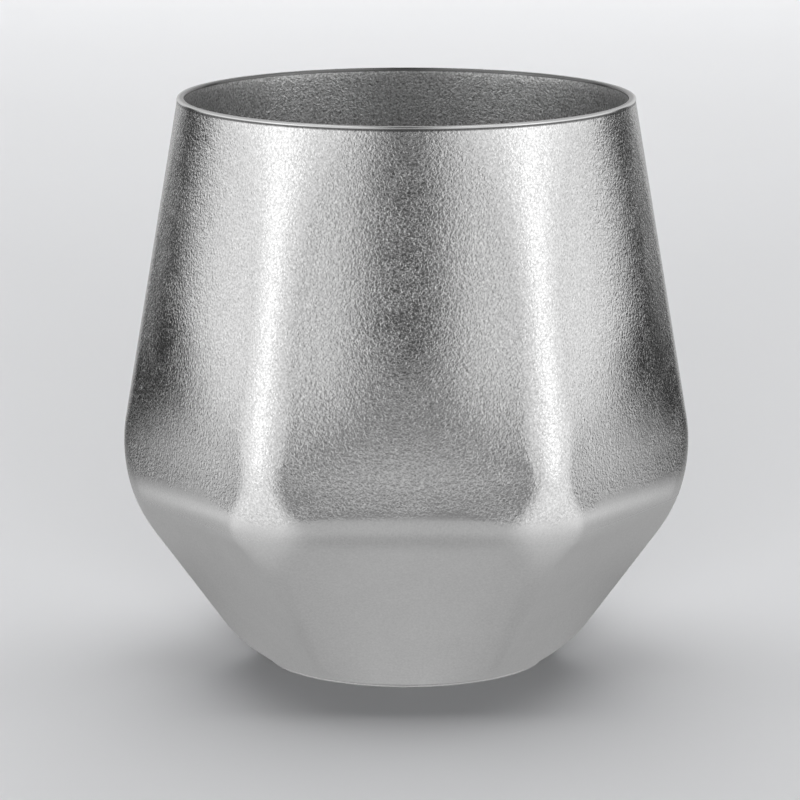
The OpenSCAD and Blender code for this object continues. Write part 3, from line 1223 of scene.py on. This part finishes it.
@dataclass
class LipBead:
    """Weld bead that closes the gap between the two walls at the lip, flush with both. Millimetres."""

    outer_r: float = 36.0
    inner_r: float = 34.84
    top: float = 90.0
    bottom: float = 89.5
    crown_round: float = 0.3
    tuck: float = 0.08
    round_steps: int = 8
    columns: int = 288

    def build(self) -> list[bpy.types.Object]:
        """Revolve a bead with a rounded crown and tucked lower edges.

        Returns:
            The finished piece.
        """
        corners = (
            (self.inner_r, self.bottom, self.tuck),
            (self.outer_r, self.bottom, self.tuck),
            (self.outer_r, self.top, self.crown_round),
            (self.inner_r, self.top, self.crown_round),
        )
        profile = outline(corners, self.round_steps)
        piece = loft("lip_bead", revolve(profile, self.columns), Ends.LOOP)
        dress(piece, LipTitanium("lip_polish").make())
        return [hand_over(piece, "rim_weld")]


@dataclass
class Underside:
    """Pressed base plate, the weld around it and the cover disc over its seal. Millimetres."""

    skirt_r: float = 17.75
    skirt_round: float = 0.3
    sheet: float = 0.6
    roof: float = 0.9
    dimple_r: float = 5.0
    dimple_roof: float = 2.1
    hole_r: float = 1.2
    press_round: float = 0.5
    press_steps: int = 6
    weld_leg: float = 0.25
    weld_rows: int = 7
    ripples: int = 260
    ripple_columns: int = 6
    ripple_rise: float = 0.05
    ripple_lean: float = 2.0
    cover_r: float = 17.0
    cover_low: float = 0.3
    cover_high: float = 0.8
    cover_round: float = 0.2
    cover_low_steps: int = 24
    cover_round_steps: int = 6
    cover_high_steps: int = 12
    pole_r: float = 0.6
    columns: int = 192

    def build_plate(self) -> bpy.types.Object:
        """Revolve the plate: a skirt, a flat roof and a dimple with the exhaust hole, with pressed bends.

        Returns:
            The finished piece.
        """
        inner = self.press_round
        outer = self.press_round + self.sheet
        top = self.roof + self.sheet
        dimple_top = self.dimple_roof + self.sheet
        corners = (
            (self.skirt_r - self.sheet, 0.0, 0.0),
            (self.skirt_r - self.weld_leg, 0.0, 0.0),
            (self.skirt_r, self.weld_leg, 0.0),
            (self.skirt_r, top, outer),
            (self.dimple_r + self.sheet, top, inner),
            (self.dimple_r + self.sheet, dimple_top, inner),
            (self.hole_r, dimple_top, 0.0),
            (self.hole_r, self.dimple_roof, 0.0),
            (self.dimple_r, self.dimple_roof, inner),
            (self.dimple_r, self.roof, inner),
            (self.skirt_r - self.sheet, self.roof, self.skirt_round),
        )
        profile = outline(corners, self.press_steps)
        piece = loft("base_dish", revolve(profile, self.columns), Ends.LOOP)
        dress(piece, TurnedMetal("base_sheet", roughness=0.34, mark_rise=0.003).make())
        return hand_over(piece, "base_plate")

    def build_weld(self) -> bpy.types.Object:
        """Carry a three-cornered bead round the plate; ripples lift its lower face as a cosine of the turn.

        Returns:
            The finished piece.
        """
        count = self.ripples * self.ripple_columns
        turn = np.linspace(0.0, 2.0 * np.pi, count, endpoint=False)[None, :]
        share = np.linspace(0.0, 1.0, self.weld_rows)[:, None]
        crest = 4.0 * share * (1.0 - share)
        wave = 0.5 - 0.5 * np.cos(self.ripples * turn + self.ripple_lean * share)
        lift = self.ripple_rise * crest * wave
        face_r = np.broadcast_to(self.skirt_r - self.weld_leg + self.weld_leg * share, lift.shape)
        r = np.concatenate((face_r, np.full((1, count), self.skirt_r)))
        z = np.concatenate((lift, np.full((1, count), self.weld_leg)))
        rings = np.stack((r * np.cos(turn), r * np.sin(turn), z), axis=-1)
        piece = loft("weld_ring", rings, Ends.LOOP)
        dress(piece, TurnedMetal("weld_bright", colour=(0.7, 0.69, 0.68), roughness=0.24).make())
        return hand_over(piece, "base_weld")

    def build_cover(self) -> bpy.types.Object:
        """Revolve a thin disc with a rounded edge.

        Returns:
            The finished piece.
        """
        edge = self.cover_round
        edge_r = self.cover_r - edge
        low = run((self.pole_r, self.cover_low), (edge_r, self.cover_low), self.cover_low_steps)[:-1]
        turn_up = arc((edge_r, self.cover_low + edge), edge, (-90.0, 0.0), self.cover_round_steps)
        turn_in = arc((edge_r, self.cover_high - edge), edge, (0.0, 90.0), self.cover_round_steps)
        high = run((edge_r, self.cover_high), (self.pole_r, self.cover_high), self.cover_high_steps)[1:]
        profile = np.vstack((low, turn_up, turn_in, high))
        piece = loft("cover_disc", revolve(profile, self.columns), Ends.POLES)
        dress(piece, TurnedMetal("cover_matte", roughness=0.4, mark_rise=0.004).make())
        return hand_over(piece, "base_cover")

    def build(self) -> list[bpy.types.Object]:
        """Make all three pieces."""
        return [self.build_plate(), self.build_weld(), self.build_cover()]


@dataclass
class SealedGap:
    """Finishes of the pieces inside the evacuated gap and behind the cover, which keep their own solids."""

    disc: TurnedMetal = TurnedMetal("disc_sheet", roughness=0.3, mark_rise=0.002)
    braze: GrainySurface = GrainySurface(
        "braze_filler",
        colour=(0.75, 0.66, 0.46),
        metallic=1.0,
        roughness=0.32,
        grain_size=0.6,
        grain_rise=0.02,
    )
    bond: GrainySurface = GrainySurface(
        "cured_bond",
        colour=(0.12, 0.12, 0.13),
        metallic=0.0,
        roughness=0.6,
        grain_size=0.3,
        grain_rise=0.02,
    )
    tablet: GrainySurface = GrainySurface(
        "getter_powder",
        colour=(0.2, 0.2, 0.21),
        metallic=0.6,
        roughness=0.7,
        grain_size=0.12,
        grain_rise=0.03,
        spread=0.5,
    )
    clip: GrainySurface = GrainySurface(
        "clip_strip",
        colour=(0.65, 0.65, 0.66),
        metallic=1.0,
        roughness=0.28,
        grain_size=0.8,
        grain_rise=0.004,
        spread=0.12,
    )
    foil: GrainySurface = GrainySurface(
        "copper_sheet",
        colour=(0.76, 0.44, 0.29),
        metallic=1.0,
        roughness=0.24,
        grain_size=3.0,
        grain_rise=0.15,
        spread=0.2,
    )

    def build(self) -> list[bpy.types.Object]:
        """Dress each solid in its finish.

        Returns:
            The dressed solids.
        """
        finishes = {
            "seal_disc": self.disc,
            "seal_braze": self.braze,
            "cover_bond": self.bond,
            "getter_tablet": self.tablet,
            "getter_clip": self.clip,
            "foil_wrap": self.foil,
        }
        for node, finish in finishes.items():
            dress(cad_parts[node], finish.make())
        return [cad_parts[node] for node in finishes]


# The studio


@dataclass(frozen=True)
class FloorPaper:
    """Pale matt paper; reflections see a glow of greys in its place. Metres and degrees."""

    name: str = "floor_paper"
    colour: Triple = (0.695, 0.7, 0.714)
    ramp_length: float = 0.25  # distance at which the ramps of greys end
    front: Stops = ((0.17, 0.545), (0.25, 0.43), (0.36, 0.56), (0.62, 0.54), (1.0, 0.27))
    far_span: Pair = (0.6, 1.25)
    far_front: float = 0.57
    to_beside: Pair = (8.0, 38.0)
    beside: Stops = ((0.17, 0.44), (0.24, 0.60), (0.36, 0.94), (0.50, 1.04), (0.80, 1.0))
    to_flank: Pair = (80.0, 102.0)
    flank: Stops = ((0.17, 0.40), (0.28, 0.45), (0.42, 0.76), (0.62, 0.74), (0.90, 0.82))
    to_behind: Pair = (101.0, 119.0)
    behind: Stops = ((0.17, 0.20), (0.25, 0.43), (0.40, 0.45), (0.62, 0.29), (0.95, 0.16))
    to_rear: Pair = (143.0, 152.0)
    rear: float = 0.5

    def glow(self, bench: NodeBench) -> Socket:
        """Grey of the floor in reflections: ramps over the distance, blended by the turn about the axis.

        Args:
            bench: bench of the material.

        Returns:
            The grey.
        """
        coords = bench.coords()
        x, y, _ = bench.parts(coords)
        turn = bench.turn(x, y)
        distance = bench.reach(coords)
        along = bench.math("DIVIDE", distance, self.ramp_length)
        to_far = bench.ease(distance, self.far_span, 0.0, 1.0)
        shade = bench.blend(to_far, bench.greys(along, self.front), grey(self.far_front))
        sectors = (
            (self.to_beside, self.beside),
            (self.to_flank, self.flank),
            (self.to_behind, self.behind),
        )
        for span, stops in sectors:
            shade = bench.blend(bench.ease_turn(turn, span), shade, bench.greys(along, stops))
        return bench.blend(bench.ease_turn(turn, self.to_rear), shade, grey(self.rear))

    def make(self) -> bpy.types.Material:
        """Build the material.

        Returns:
            The material.
        """
        material, bench = start_material(self.name)
        paper = bench.fill(bench.add("ShaderNodeBsdfDiffuse"), opaque(self.colour))
        glow = bench.emit(self.glow(bench), bench.first_hand())
        bench.close(bench.choose(bench.light_path("Is Glossy Ray"), paper, glow))
        return material


@dataclass(frozen=True)
class DarkCloth:
    """Dark cloth, as dense as the cover attribute of its screen says."""

    name: str = "dark_cloth"
    tone: float = 0.03

    def make(self) -> bpy.types.Material:
        """Build the material.

        Returns:
            The material.
        """
        material, bench = start_material(self.name)
        cover = bench.add("ShaderNodeAttribute", attribute_name="cover").outputs["Fac"]
        clear = bench.add("ShaderNodeBsdfTransparent").outputs[0]
        bench.close(bench.choose(cover, clear, bench.emit(grey(self.tone))))
        return material


@dataclass(frozen=True)
class SurroundGlow:
    """Soft light of the surround: greys by the turn from the camera side, and by the height further up."""

    name: str = "surround_glow"
    ring: Stops = (
        (0.0, 0.78),
        (0.15, 0.82),
        (0.19, 0.88),
        (0.25, 0.97),
        (0.28, 1.12),
        (0.325, 1.5),
        (0.38, 1.5),
        (0.44, 1.08),
        (0.52, 1.0),
        (0.64, 0.92),
        (0.8, 0.68),
        (1.0, 0.62),
    )
    lift_span: Pair = (0.3, 0.6)
    zenith_span: Pair = (0.8, 0.95)
    zenith: Pair = (0.6, 1.2)

    def make(self) -> bpy.types.Material:
        """Build the material; the ring's stops are shares of a half turn, the spans parts of a unit height.

        Returns:
            The material.
        """
        material, bench = start_material(self.name)
        x, y, z = bench.parts(bench.vector("NORMALIZE", bench.coords()))
        turn = bench.math("DIVIDE", bench.turn(x, y), math.pi)
        lift = bench.ease(z, self.lift_span, 0.0, 1.0)
        overhead = bench.ease(z, self.zenith_span, *self.zenith)
        shade = bench.blend(lift, bench.greys(turn, self.ring), overhead)
        bench.close(bench.emit(shade, bench.first_hand()))
        return material


def only_reflected(sheet: bpy.types.Object) -> None:
    """Keep a sheet of the studio to reflections alone.

    Args:
        sheet: screen or surround.
    """
    sheet.visible_camera = False
    sheet.visible_diffuse = False
    sheet.visible_shadow = False


def hang_screen(name: str, points: np.ndarray, cover: np.ndarray, cloth: bpy.types.Material) -> None:
    """Hang a dark screen that only reflections show.

    Args:
        name: name of the screen.
        points: grid of points as an array of rows, columns and three coordinates.
        cover: how dense the screen is at each point, from 0 to 1.
        cloth: finish that reads the density.
    """
    rows, columns, _ = points.shape
    corner = np.arange(rows - 1)[:, None] * columns + np.arange(columns - 1)[None, :]
    quads = np.stack((corner, corner + 1, corner + columns + 1, corner + columns), axis=-1).reshape(-1, 4)
    sheet = mesh_object(name, points.reshape(-1, 3), quads.tolist(), smooth=False)
    density = sheet.data.attributes.new("cover", "FLOAT", "POINT")
    density.data.foreach_set("value", cover.astype(np.float32).ravel())
    dress(sheet, cloth)
    only_reflected(sheet)


@dataclass
class DarkArch:
    """Dark screen from the camera side over the top, thinner at its foot and in a gap. Metres and degrees."""

    distance: float = 0.55
    centre_h: float = 0.05
    half_width: float = 0.3
    lift_span: Pair = (-4.0, 150.0)
    rows: int = 60
    columns: int = 41
    foot_width: float = 0.55  # share of the width at the foot
    foot_span: Pair = (-1.0, 5.0)
    top_narrowing: float = 0.45
    thin_foot: float = 0.55  # share of the density at the foot
    thin_span: Pair = (-0.5, 5.0)
    gap_from: Pair = (12.0, 22.0)
    gap_to: Pair = (45.0, 62.0)
    gap_thinning: float = 0.7
    fade_span: Pair = (110.0, 150.0)

    def cover(self, lift: np.ndarray, place: np.ndarray) -> np.ndarray:
        """Density of the screen, full along its middle and none at its edges.

        Args:
            lift: angles up from the camera side.
            place: places across the arch, from -1 to 1.

        Returns:
            Density at each angle and place, from 0 to 1.
        """
        foot = self.thin_foot + (1.0 - self.thin_foot) * soft_step(lift, *self.thin_span)
        gap = soft_step(lift, *self.gap_from) - soft_step(lift, *self.gap_to)
        fade = 1.0 - soft_step(lift, *self.fade_span)
        across = 1.0 - soft_step(np.abs(place), 0.0, 1.0)
        return across * foot * (1.0 - self.gap_thinning * gap) * fade

    def build(self, cloth: bpy.types.Material) -> None:
        """Carry a part circle of the middle plane sideways, narrower at its foot and overhead.

        Args:
            cloth: finish of the screen.
        """
        lift = np.linspace(*self.lift_span, self.rows)[:, None]
        place = np.linspace(-1.0, 1.0, self.columns)[None, :]
        up = np.sin(np.radians(lift))
        foot = self.foot_width + (1.0 - self.foot_width) * soft_step(lift, *self.foot_span)
        x = place * self.half_width * foot * (1.0 - self.top_narrowing * np.maximum(up, 0.0))
        y = np.broadcast_to(-self.distance * np.cos(np.radians(lift)), x.shape)
        z = np.broadcast_to(self.centre_h + self.distance * up, x.shape)
        hang_screen("dark_arch", np.stack((x, y, z), axis=-1), self.cover(lift, place), cloth)


@dataclass
class SideScreens:
    """Dark screen behind each side, with its near edge drawn back further up. Metres and degrees."""

    distance: float = 0.3
    height: float = 0.17
    turn_span: Pair = (98.0, 148.0)
    rows: int = 41
    columns: int = 101
    density: float = 0.96
    near_span: Pair = (103.0, 122.0)
    far_span: Pair = (132.0, 142.0)
    drawn_back: float = 8.0
    drawn_span: Pair = (0.048, 0.06)

    def build(self, cloth: bpy.types.Material) -> None:
        """Hang a part of an upright cylinder about the axis on each side.

        Args:
            cloth: finish of the screens.
        """
        turn = np.linspace(*self.turn_span, self.columns)[None, :]
        rise = np.linspace(0.0, self.height, self.rows)[:, None]
        drawn_back = self.drawn_back * soft_step(rise, *self.drawn_span)
        near_edge = soft_step(turn - drawn_back, *self.near_span)
        cover = self.density * near_edge * (1.0 - soft_step(turn, *self.far_span))
        y = np.broadcast_to(-self.distance * np.cos(np.radians(turn)), cover.shape)
        z = np.broadcast_to(rise, cover.shape)
        for name, side in (("dark_left", -1.0), ("dark_right", 1.0)):
            x = np.broadcast_to(side * self.distance * np.sin(np.radians(turn)), cover.shape)
            hang_screen(name, np.stack((x, y, z), axis=-1), cover, cloth)


def aim(thing: bpy.types.Object, place: Triple, target: Triple) -> None:
    """Put a lamp or the camera at a place, turned to a target.

    Args:
        thing: lamp or camera.
        place: where it stands.
        target: point that it faces.
    """
    thing.location = place
    thing.rotation_mode = "QUATERNION"
    thing.rotation_quaternion = (Vector(target) - Vector(place)).to_track_quat("-Z", "Y")


@dataclass(frozen=True)
class SoftLamp:
    """Large soft lamp that faces the tumbler; reflections leave it out. Metres and watts."""

    name: str
    place: Triple
    size: Pair
    power: float
    target: Triple = (0.0, 0.0, 0.0)

    def hang(self) -> None:
        """Hang the lamp."""
        data = bpy.data.lights.new(self.name, "AREA")
        data.shape = "RECTANGLE"
        data.size, data.size_y = self.size
        data.energy = self.power
        lamp = put_in_scene(self.name, data)
        lamp.visible_glossy = False
        aim(lamp, self.place, self.target)


@dataclass
class Studio:
    """Pale floor, lamps, a surround and screens for reflections, and the camera.

    Metres and degrees; the lens and its sensor in millimetres.
    """

    lens: float = 223.07
    sensor: float = 36.0
    eye: Triple = (0.0, -0.772, 0.19107)
    target: Triple = (-0.00099, 0.0, 0.04141)
    near_floor: Pair = (0.002, 0.2)
    far_floor: Pair = (0.25, 1.25)
    floor_rings: int = 12
    columns: int = 96
    lamps: tuple[SoftLamp, ...] = (
        SoftLamp("top_lamp", place=(0.0, 0.4, 1.6), size=(2.2, 1.2), power=21.5),
        SoftLamp("back_lamp", place=(0.0, 2.0, 0.6), size=(1.6, 0.3), power=26.6),
        SoftLamp("front_lamp", place=(0.0, -2.2, 0.44), size=(1.6, 0.3), power=58.0),
    )
    surround_r: float = 1.7
    surround_sweep: Pair = (-12.0, 89.0)
    surround_steps: int = 40
    sky: float = 0.02
    backdrop: float = 0.66

    def set_camera(self) -> None:
        """Place the camera at the photograph's viewing angle."""
        data = bpy.data.cameras.new("camera")
        data.lens = self.lens
        data.sensor_width = self.sensor
        camera = put_in_scene("camera", data)
        aim(camera, self.eye, self.target)
        bpy.context.scene.camera = camera

    def lay_floor(self) -> None:
        """Lay a round floor: rings from its edge inwards, closer together under the tumbler, and a pole."""
        near = np.linspace(*self.near_floor, self.floor_rings)
        far = np.linspace(*self.far_floor, self.floor_rings)
        distance = np.concatenate((near, far))[::-1]
        flat = np.stack((distance, np.zeros(len(distance))), axis=-1)
        points = np.concatenate((revolve(flat, self.columns).reshape(-1, 3), np.zeros((1, 3))))
        last = len(points) - 1
        faces = join_rings(len(flat), self.columns, False).tolist()
        faces += fan(last, last - self.columns, self.columns, True).tolist()
        floor = mesh_object("floor", points, faces, smooth=False)
        dress(floor, FloorPaper().make())

    def hang_surround(self) -> None:
        """Hang a wide dome of soft light: an arc from below the floor's level, carried round the axis."""
        profile = arc((0.0, 0.0), self.surround_r / MM, self.surround_sweep, self.surround_steps)
        dome = loft("surround", revolve(profile, self.columns), Ends.POLES)
        dress(dome, SurroundGlow().make())
        only_reflected(dome)

    def light_world(self) -> None:
        """Even sky that lights the floor; the camera sees a pale backdrop, reflections the surround."""
        world = bpy.data.worlds.new("studio")
        bpy.context.scene.world = world
        world.use_nodes = True
        world.cycles_visibility.glossy = False
        bench = NodeBench(world.node_tree)
        tone = bench.ease(bench.light_path("Is Camera Ray"), (0.0, 1.0), self.sky, self.backdrop)
        bench.close(bench.fill(bench.add("ShaderNodeBackground"), tone), "ShaderNodeOutputWorld")

    def build(self) -> None:
        """Set the whole studio up."""
        self.set_camera()
        self.lay_floor()
        for lamp in self.lamps:
            lamp.hang()
        cloth = DarkCloth().make()
        DarkArch().build(cloth)
        SideScreens().build(cloth)
        self.hang_surround()
        self.light_world()
        bpy.context.scene.view_settings.view_transform = "Standard"


def main() -> None:
    """Build the studio and every piece, and report each piece."""
    logging.basicConfig(level=logging.INFO, format="%(name)s: %(message)s")
    Studio().build()
    for assembly in (OuterShell(), InnerCup(), LipBead(), Underside(), SealedGap()):
        for piece in assembly.build():
            finish = piece.data.materials[0].name
            LOG.info("%s: %d faces, dressed in %s", piece.name, len(piece.data.polygons), finish)


if __name__ == "__main__":
    main()
